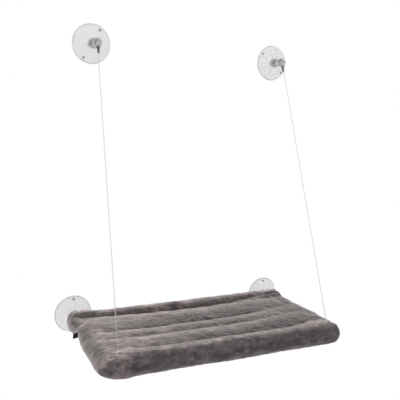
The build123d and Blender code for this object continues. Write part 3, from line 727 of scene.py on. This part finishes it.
def coverRows(detail):
    # distances from the left end: close together round the ends and at the hinge slits
    half = coverSet["half"]
    turns = np.linspace(0, math.pi / 2, int(coverSet["rowsTurn"] * detail) + 1)
    (leftReach, leftPower), (rightReach, rightPower) = coverSet["leftEnd"][:2], coverSet["rightEnd"][:2]
    left = leftReach * (1 - np.cos(turns) ** (2 / leftPower))
    right = 2 * half - rightReach * (1 - np.cos(turns[::-1]) ** (2 / rightPower))
    count = int((right[0] - left[-1]) / coverSet["rowStep"] * detail)
    rows = np.concatenate([left[:-1], np.linspace(left[-1], right[0], count), right[1:]])
    if detail < 1:
        return rows
    dense = np.arange(-coverSet["slitHalf"] - 2 * mm, coverSet["slitHalf"] + 2 * mm, coverSet["slitStep"])
    extra = np.concatenate([half + dense + side * coverSet["slitX"] for side in (-1, 1)])
    rows = rows[np.min(np.abs(rows[:, None] - extra[None]), axis=1) > 0.6 * coverSet["slitStep"]]
    return np.sort(np.concatenate([rows, extra]))


def coverGrid(detail=1.0):
    half, thick = coverSet["half"], (coverSet["top"] - coverSet["low"]) / 2
    distance = coverRows(detail)
    x = distance - half
    left, right = coverSet["leftEnd"], coverSet["rightEnd"]
    lift, draw = (endInset(distance, depth, *left[k:k + 2]) + endInset(2 * half - distance, depth, *right[k:k + 2])
                  for k, depth in ((0, thick), (2, coverSet["corner"])))
    rear, front = (coverSet["rear"] - draw)[:, None], (coverSet["front"] + draw)[:, None]
    top, low = (coverSet["top"] - lift)[:, None], (coverSet["low"] + lift)[:, None]
    radius, level = (top - low) / 2, (top + low) / 2
    edge = np.linspace(-math.pi / 2, math.pi / 2, int(coverSet["columnsEdge"] * detail) + 1)[None, :]
    across = evenAcross(int(coverSet["columnsTop"] * detail))[1:-1]
    share = ((across - railFeet[0]) / (railFeet[1] - railFeet[0]))[None, :]
    back = 1 - share[:, ::-1]
    span = rear - front - 2 * radius
    sag, seam, rearSeam, swing = (blurredLine(x / half, *coverSet[key], blur)[:, None] for key, blur in
                                  (("sag", 0.06), ("seam", 0.035), ("rearSeam", 0.02), ("swing", 0.1)))
    rearZone, frontZone = 1 - smoothStep(across, 40, 85), 1 - fadeOut(across, 200, 235)
    swung = across[None, :] - swing * (smoothStep(across, 34, 100) * fadeOut(across, 212, 252))[None, :]
    hull = blurredLine(across, *zip(*coverSet["hull"]), 3.0)
    groove = sectionDrop(swung) - hull
    depth = rearSeam * rearZone + sag * frontZone + seam * (1 - rearZone - frontZone)
    topZ = top - (sag * hull + depth * groove) * mm
    rearY, rearZ = rear - radius + radius * np.cos(edge), level + radius * np.sin(edge)
    frontY, frontZ = front + radius - radius * np.cos(edge), level - radius * np.sin(edge)
    y = np.concatenate([rearY, rear - radius - share * span, frontY, front + radius + back * span], 1)
    z = np.concatenate([rearZ, topZ, frontZ, low + 0 * back], 1)
    # place of each column: 0 to 1 up the rear edge, 1 to 2 top, 2 to 3 down the front edge, 3 to 4 underneath
    part = (edge[0] + math.pi / 2) / math.pi
    mark = np.concatenate([part, 1 + share[0], 2 + part, 3 + back[0]])
    bare = np.zeros((len(x), len(part)))
    distances = np.concatenate([bare, swung, bare, 0 * swung], 1)
    return np.stack([np.broadcast_to(x[:, None], y.shape), y, z], 2), x, mark, distances


def gridNormals(points):
    # outward unit normals of the cover's grid
    along = np.gradient(points, axis=0)
    ring = np.concatenate([points[:, -1:], points, points[:, :1]], 1)
    normal = np.cross(ring[:, 2:] - ring[:, :-2], along)
    return normal / np.maximum(np.linalg.norm(normal, axis=2), 1e-12)[:, :, None]


clothSet = {"detail": 0.34, "frames": 20, "cap": 4.0 * mm, "share": 0.8, "leftOut": 3, "seamHold": 3.5,
            "endHold": 10 * mm,
            "solver": {"uniform_pressure_force": 60.0, "mass": 0.02, "quality": 6, "tension_stiffness": 12,
                       "compression_stiffness": 12, "bending_stiffness": 0.6}}


def settledShift():
    # the filling's push on the cloth: a coarse copy held along its seams, ends and bottom is blown up for a moment.
    # The rows at both tips are left out, since their points nearly meet
    whole, wholeX, mark, across = coverGrid(clothSet["detail"])
    inner = slice(clothSet["leftOut"], -clothSet["leftOut"])
    points, x, across = whole[inner], wholeX[inner], across[inner]
    holder = gridMesh("cloth_copy", points, closeAround=True, flip=True)
    nearSeam = np.min(np.abs(across[:, :, None] - np.array(coverSet["seams"])), axis=2) < clothSet["seamHold"]
    held = nearSeam & (mark > 1)[None] & (mark < 2)[None]
    held[:, mark >= 3] = True
    held[np.abs(x) > coverSet["half"] - clothSet["endHold"]] = True
    group = holder.vertex_groups.new(name="held")
    group.add([int(index) for index in np.nonzero(held.ravel())[0]], 1.0, "REPLACE")
    cloth = holder.modifiers.new("cloth", "CLOTH")
    setAll(cloth.settings, vertex_group_mass="held", use_pressure=True, **clothSet["solver"])
    cloth.settings.effector_weights.gravity = 0
    cloth.collision_settings.use_collision = False
    cloth.point_cache.frame_end = clothSet["frames"]
    for moment in range(1, clothSet["frames"] + 1):
        scene.frame_set(moment)
    settled = holder.evaluated_get(bpy.context.evaluated_depsgraph_get()).to_mesh()
    shift = placesOf(settled).reshape(points.shape) - points
    scene.frame_set(1)
    removeMesh(holder)
    size = np.linalg.norm(shift, axis=2)[:, :, None]
    print("cloth shift in mm, mean and most:", round(float(size.mean()) / mm, 2), round(float(size.max()) / mm, 2))
    eased = np.zeros(whole.shape)
    eased[inner] = shift * np.minimum(1, clothSet["cap"] / np.maximum(size, 1e-9)) * clothSet["share"]
    return eased, wholeX, mark


def spreadShift(shift, x, mark, newX, newMark):
    # the coarse shift read off at the fine grid's places, straight runs between its own
    rows = np.stack([np.stack([np.interp(newX, x, shift[:, j, k]) for j in range(len(mark))], 1)
                     for k in range(3)], 2)
    rows = np.concatenate([rows, rows[:, :1]], 1)
    wrapped = np.concatenate([mark, [4.0]])
    order = np.searchsorted(wrapped, newMark, side="right").clip(1, len(wrapped) - 1)
    gap = np.maximum(wrapped[order] - wrapped[order - 1], 1e-9)
    part = np.clip((newMark - wrapped[order - 1]) / gap, 0, 1)[None, :, None]
    return rows[:, order - 1] * (1 - part) + rows[:, order] * part


def coverWrinkles(points, mark, across):
    # outward lift of each point, in mm, from the way the sewn cover lies
    def ripples(line, length, turns, spread):
        return np.sin(x / (length * mm) + turns * broad) * np.exp(-((gap - line) / spread) ** 2)

    x = points[:, :, 0]
    top = ((mark > 1) & (mark < 2))[None, :].astype(float)
    broad = latticeNoise(points, 60, 1)
    lift = 1.0 * broad + 0.7 * latticeNoise(points, 26, 2)
    lift += 0.55 * latticeNoise(points, 11, 3) + 0.42 * latticeNoise(points, 5.5, 4)
    gap = across + 1.5 * latticeNoise(points * np.array([1, 0, 0]), 45, 5)
    reach = x / coverSet["half"]
    held = np.interp(reach, *coverSet["seam"])
    for line, share in ((113.8, 1.0), (160.0, 0.5)):
        crease = np.exp(-((gap - line) / 3.4) ** 2)
        lift -= top * held * share * (0.7 * crease - 0.4 * ripples(line, 5.2, 4, 9))
    for line in (36.0, 223.0):
        lift += top * 0.5 * ripples(line, 8.5, 5, 7) * (1 - smoothStep(np.abs(reach), 0.75, 0.9))
    return lift


def coverPaintedShading(points, mark, across):
    # share of painted light and shade: lighter where the top's slopes face the light from behind, darker where they
    # face forward
    reach = points[:, :, 0] / coverSet["half"]
    wander = across + 3.0 * latticeNoise(points * np.array([1, 0.3, 0]), 38, 9)
    onTop = (smoothStep(mark, 0.6, 1.0) * fadeOut(mark, 2.0, 2.4))[None, :]
    bands = blurredLine(wander, *zip(*coverSet["paintedShading"]), 1.6) * onTop
    paintedShading = bands * np.interp(reach, *coverSet["paintedShadingReach"])
    seat = onTop * smoothStep(wander, 30, 38) * fadeOut(wander, 228, 238)
    # painted falloff of light, darker towards the right end, on the seat and round it
    paintedShading = paintedShading + seat * np.interp(reach, *coverSet["turn"]) + (1 - seat) * np.interp(reach, *coverSet["frontPaintedFalloff"])
    # painted shade darkens the end's edge, and a painted highlight lightens the front's left corner
    edge = smoothStep(-points[:, :, 0], 0.258, 0.28)
    corner = smoothStep(-points[:, :, 0], 0.222, 0.242) * smoothStep(mark, 1.9, 2.1) * fadeOut(mark, 2.6, 3.0)
    return np.clip(paintedShading - 0.5 * edge + 0.75 * corner, -0.65, 0.9)


# (centre, reach, outward lift) in mm: full corners, then dents and puckers
coverFolds = (
    ((-241, -294, -30), (15, 14, 12), 2.5), ((-266, -34, 0), (18, 14, 18), 4.0), ((264, -34, 0), (18, 14, 18), 2.5),
    ((262, -290, -8), (16, 16, 16), 1.5), ((-246, -133, 10), (3, 9, 12), -3.4), ((-239, -136, 10), (3, 9, 12), -3.0),
    ((-232, -139, 10), (3, 9, 12), -2.6), ((-236, -62, 12), (16, 5, 12), -3.4), ((-252, -72, 12), (6, 12, 12), -2.0),
    ((-262, -92, 6), (10, 6, 12), -2.6), ((225, -75, 12), (26, 7, 12), -2.2), ((240, -110, 12), (9, 34, 12), -1.6),
    ((-262, -200, -2), (8, 22, 12), -1.8), ((-238, -215, 14), (7, 30, 10), 1.6), ((0, -303, -10), (60, 12, 10), 1.6),
)


def sinkSlits(x, y, z):
    # where each hinge comes through, the cloth tucks in to a ring round the tube; a hem swells round the slit
    low, high = (math.radians(turn) for turn in coverSet["slitTurns"])
    tubeY = coverSet["tubeY"]
    turn, reach = np.arctan2(z, y - tubeY), np.hypot(y - tubeY, z)
    side = np.abs(np.abs(x) - coverSet["slitX"])
    near = (y > -70 * mm) & (side < 30 * mm)
    aside = np.maximum(side - coverSet["slitHalf"], 0)
    about = np.maximum(np.maximum(low - turn, turn - high), 0) * reach
    gap = np.hypot(aside, about)
    hem = np.exp(-((gap - 2.2 * mm) / (1.6 * mm)) ** 2) * 0.9 * mm * near
    newReach = np.where(near & (gap <= 0.05 * mm), coverSet["slitFloor"], reach + hem)
    y[:] = np.where(near, tubeY + newReach * np.cos(turn), y)
    z[:] = np.where(near, newReach * np.sin(turn), z)


def makeCover():
    points, rows, mark, across = coverGrid()
    points = points + spreadShift(*settledShift(), rows, mark)
    under = (mark >= 3)[None, :]
    lift = coverWrinkles(points, mark, across) * np.where(under, 0.15, 1.0)
    for centre, reach, height in coverFolds:
        gap = (points - np.array(centre) * mm) / (np.array(reach) * mm)
        lift += height * np.exp(-np.sum(gap ** 2, axis=2))
    calm = smoothStep(coverSet["half"] - np.abs(points[:, :, 0]), 0, 4 * mm)
    points = points + gridNormals(points) * (lift * calm * mm)[:, :, None]
    x, y, z = np.moveaxis(points, 2, 0)
    # the left end bulges out; towards the front it lies flatter, and its corner leans back
    bulge = blurredLine(y / mm, *zip(*coverSet["bulge"]), 9.0) * mm
    flatter = coverSet["slump"] * smoothStep(-x, 0.258, 0.285) * smoothStep(-y, 0.10, 0.17)
    x -= bulge * smoothStep(-x, 0.225, 0.272)
    z -= flatter * (z + 33 * mm)
    corner = smoothStep(-x, 0.212, 0.25) * smoothStep(-y, 0.235, 0.285)
    y += coverSet["lean"] * corner * (z + 31 * mm)
    # the rear rail stands higher at both ends
    rise = blurredLine(x, *zip(*coverSet["rise"]), 0.012) * mm
    z += rise * smoothStep(y, -0.082, -0.054) * smoothStep(z, -0.02, 0.012)
    panelHalf, panelRear, panelFront = coverSet["panel"]
    z[under & (np.abs(x) < panelHalf) & (y < panelRear) & (y > panelFront)] = coverSet["panelLevel"]
    # painted light and shade, kept on the cover for its colour
    paintedShading = coverPaintedShading(points, mark, across)
    sinkSlits(x, y, z)
    ring = points[points.shape[0] // 2]
    uv = (runLengths(points[:, points.shape[1] // 4]), runLengths(np.vstack([ring, ring[:1]])))
    whole = gridMesh("sewn_cover", points, closeAround=True, flip=True, uv=uv, weld=2e-6, paintedShading=paintedShading)
    return dressed(whole, "greyPlush")


cover = makeCover()
finishPiece(cover, "platform", "grey_plush", "plush_cover", "rear_roll", "mat_pad", "front_roll")
print("cover made")


# Underside: cloth panel, its stitches and the coil zip, sizes in mm
underSet = {"panel": (246, -54, -276), "level": -31.0, "cloth": 0.8, "zipY": -90.0, "zipHalf": 235.0, "tape": 11.0,
            "coil": 2.5, "coilDepth": 1.8, "tooth": 1.7, "stitch": 4.0, "hem": 4, "tapeStitchX": 230}


def makePanel():
    half, rear, front = (value * mm for value in underSet["panel"])
    x, y = np.meshgrid(np.linspace(-half, half, 190), np.linspace(rear, front, 90), indexing="ij")
    flat = np.stack([x, y, 0 * x], 2)
    edge = np.minimum(half - np.abs(x), np.minimum(rear - y, y - front))
    calm = smoothStep(edge, 0, 20 * mm) * smoothStep(np.abs(y - underSet["zipY"] * mm), 12 * mm, 30 * mm)
    ripple = 0.5 * latticeNoise(flat, 38, 6) + 0.3 * latticeNoise(flat * np.array([0.4, 1, 1]), 14, 7)
    z = underSet["level"] * mm + calm * ripple * mm + 0.5 * mm * smoothStep(4 * mm - edge, 0, 4 * mm)
    panel = dressed(gridMesh("underside_sheet", np.stack([x, y, z], 2)), "undersideCloth")
    thickened(panel, underSet["cloth"] * mm, 1)
    finishPiece(panel, "platform", "underside_cloth", "underside_panel")
    return panel, (2 * half, rear - front)


def makeStitches():
    # dashes of thread, small spindles that dip into the cloth at their ends, in rows along the hem and the tape
    half, rear, front = underSet["panel"]
    zipY, hem, tapeX = (underSet[key] for key in ("zipY", "hem", "tapeStitchX"))
    outer, back, fore, seam = half - hem, rear - hem, front + hem, underSet["tape"] - 2
    lines = [((-outer, level), (outer, level)) for level in (back, fore)]
    lines += [((side * outer, back), (side * outer, fore)) for side in (-1, 1)]
    lines += [((-tapeX, level), (tapeX, level)) for level in (zipY + seam, zipY - seam)]
    turn = roundTurn(6)
    stations, thick = np.array([0, 0.25, 1.3, 2.35, 2.6]), np.array([0.02, 0.32, 0.36, 0.32, 0.02])
    rise = np.array([0.3, -0.05, -0.25, -0.05, 0.3])
    rings = []
    for start, end in lines:
        start, end = np.array(start, float), np.array(end, float)
        length = np.linalg.norm(end - start)
        way = (end - start) / length
        sideways = np.array([-way[1], way[0]])
        first = (np.arange(int(length / underSet["stitch"])) + 0.2) * underSet["stitch"]
        centre = start + way * (first[:, None, None] + stations[None, :, None])
        flat = centre[:, :, None] + sideways * (thick[:, None] * np.cos(turn)[None])[None, :, :, None]
        z = underSet["level"] - 0.35 + rise[:, None] + thick[:, None] * np.sin(turn)[None]
        z = np.broadcast_to(z[None, :, :, None], (*flat.shape[:3], 1))
        rings.append(np.concatenate([flat, z], 3))
    rings = np.concatenate(rings) * mm
    stitches = gridMesh("stitches", rings.reshape(-1, 6, 3), closeAround=True, flip=True, every=len(stations))
    finishPiece(dressed(stitches, "threadCotton"), "platform", "underside_cloth")
    return stitches


def makeZip():
    # coil: a half-round bead notched along its length by a cosine, on a flat woven tape
    half, zipY, tooth = underSet["zipHalf"] * mm, underSet["zipY"] * mm, underSet["tooth"] * mm
    x = np.arange(-half, half, tooth / 6)
    turn = np.linspace(0, math.pi, 13)
    notch = 0.72 + 0.28 * np.abs(np.cos(math.pi * x / tooth))
    across = underSet["coil"] * mm * np.cos(turn)[None, :] + 0 * x[:, None]
    depth = underSet["coilDepth"] * mm * (np.sin(turn)[None, :] ** 0.6) * notch[:, None]
    split = 0.5 * mm * np.exp(-(across / (0.25 * mm)) ** 2)
    z = (underSet["level"] - 0.1) * mm - depth + split
    coil = gridMesh("zip_coil", np.stack([x[:, None] + 0 * across, zipY + across, z], 2), flip=True)
    wide = underSet["tape"] * mm
    x, y = np.meshgrid(np.linspace(-half, half, 120), np.linspace(wide, -wide, 14), indexing="ij")
    z = (underSet["level"] - 0.35) * mm + 0.1 * mm * latticeNoise(np.stack([x, y, 0 * x], 2), 22, 8)
    tape = gridMesh("zip_cloth", np.stack([x, y + zipY, z], 2))
    whole = joinPieces("coil_zip", [dressed(coil, "zipPlastic"), dressed(tape, "undersideCloth")])
    finishPiece(whole, "platform", "zip_plastic", "zip_tape")


panel, flatSize = makePanel()
makeStitches()
makeZip()
print("underside made")


# Blank label folded into the left seam, in mm: out along a drooping line, round its fold and back
tagSet = {"root": (-273.5, -105.5, -9.5), "width": 12.0, "length": 13.5, "gap": 0.55, "cloth": 0.3, "droop": 14,
          "twist": 80, "steps": 24}


def makeTag():
    # both layers lie the gap away from the line, along its normal; the fold is a half circle round its end
    length, gap, steps = tagSet["length"], tagSet["gap"], tagSet["steps"]
    out = np.linspace(0, length, steps)
    droop = math.radians(tagSet["droop"]) * smoothStep(out, -2, 7)
    reach, fall = (summed(np.diff(out) * wave(droop[1:])) for wave in (np.cos, np.sin))
    fold = np.linspace(0, math.pi, 9)[1:-1]
    spine = np.concatenate([np.arange(steps), np.full(7, steps - 1), np.arange(steps)[::-1]])
    away = np.concatenate([np.full(steps, gap), gap * np.cos(fold), np.full(steps, -gap)])
    ahead = np.concatenate([np.zeros(steps), gap * np.sin(fold), np.zeros(steps)])
    lean = droop[spine]
    x = -reach[spine] - away * np.sin(lean) - ahead * np.cos(lean)
    z = -fall[spine] + away * np.cos(lean) - ahead * np.sin(lean)
    wide = np.linspace(-tagSet["width"] / 2, tagSet["width"] / 2, 16)
    root = np.array(tagSet["root"])
    twist = math.radians(tagSet["twist"])
    height = z[:, None] + 0.25 * np.cos(wide / 2.4)[None]
    points = np.stack([root[0] + x[:, None] + 0 * wide,
                       root[1] + wide[None] * math.cos(twist) + height * math.sin(twist),
                       root[2] - wide[None] * math.sin(twist) + height * math.cos(twist)], 2) * mm
    tag = dressed(gridMesh("folded_label", points), "tagCloth")
    thickened(tag, tagSet["cloth"] * mm, 0)
    finishPiece(tag, "platform", "tag_cloth", "side_tag")


makeTag()


# Finishes of the carried-over pieces, by how their names end
nodeFinishes = {"stop": "crimpMetal", "grommet": "whitePlastic", "eye": "zincSteel", "tee": "framePlastic",
                "caps": "framePlastic", "screws": "zincSteel", "tube": "frameSteel", "slider": "zipMetal",
                "pull": "zipMetal"}
for name, node in nodes.items():
    for ending, material in nodeFinishes.items():
        if name.endswith(ending):
            dressed(node, material)


# Pale floor far below, white surroundings, one wide soft light high behind the glass and a weak one overhead
studioSet = {"floorLevel": -0.9, "floorHalf": 14.0, "floorTone": grey(0.78), "floorGlow": 1.0, "surround": 0.46,
             "aim": (0, -0.15, 0.05),
             "windowLight": {"place": (-1.0, 1.15, 1.05), "size": (1.1, 0.8), "power": 82.0},
             "overhead": {"place": (-0.5, -0.5, 1.8), "size": (1.6, 1.6), "power": 11.0}}


def aimedLamp(name):
    lampSet = studioSet[name]
    lamp = bpy.data.lights.new(name, "AREA")
    width, depth = lampSet["size"]
    setAll(lamp, shape="RECTANGLE", size=width, size_y=depth, energy=lampSet["power"])
    way = Vector(studioSet["aim"]) - Vector(lampSet["place"])
    setAll(linked(name, lamp), location=lampSet["place"], rotation_euler=way.to_track_quat("-Z", "Y").to_euler(),
           visible_transmission=False, visible_glossy=False)


def seenDirectly(tree):
    # one for camera rays and for rays through the clear vinyl
    path = addNode(tree, "ShaderNodeLightPath").outputs
    return mathOf(tree, "MAXIMUM", path["Is Camera Ray"], path["Is Transmission Ray"])


def setStudio():
    half, level = studioSet["floorHalf"], studioSet["floorLevel"]
    corners = np.array([[[-half, -half, level], [-half, half, level]], [[half, -half, level], [half, half, level]]])
    floor = gridMesh("floor", corners)
    tree, shader = newMaterial("paleFloor")
    setSockets(shader, Base_Color=studioSet["floorTone"], Roughness=0.9)
    glow = addNode(tree, "ShaderNodeEmission", {"Color": grey(1), "Strength": 1.0})
    share = rangeOf(tree, seenDirectly(tree), 0, 1, 0, studioSet["floorGlow"])
    mixed = addNode(tree, "ShaderNodeMixShader", {0: share, 1: shader.outputs[0], 2: glow.outputs[0]})
    fillSocket(tree.nodes["Material Output"].inputs["Surface"], mixed.outputs[0])
    dressed(floor, "paleFloor")
    scene.world = bpy.data.worlds.new("surround")
    scene.world.use_nodes = True
    tree = scene.world.node_tree
    strength = rangeOf(tree, seenDirectly(tree), 0, 1, studioSet["surround"], 1.0)
    setSockets(tree.nodes["Background"], Color=grey(1), Strength=strength)
    aimedLamp("windowLight")
    aimedLamp("overhead")


setStudio()
print("stage set")
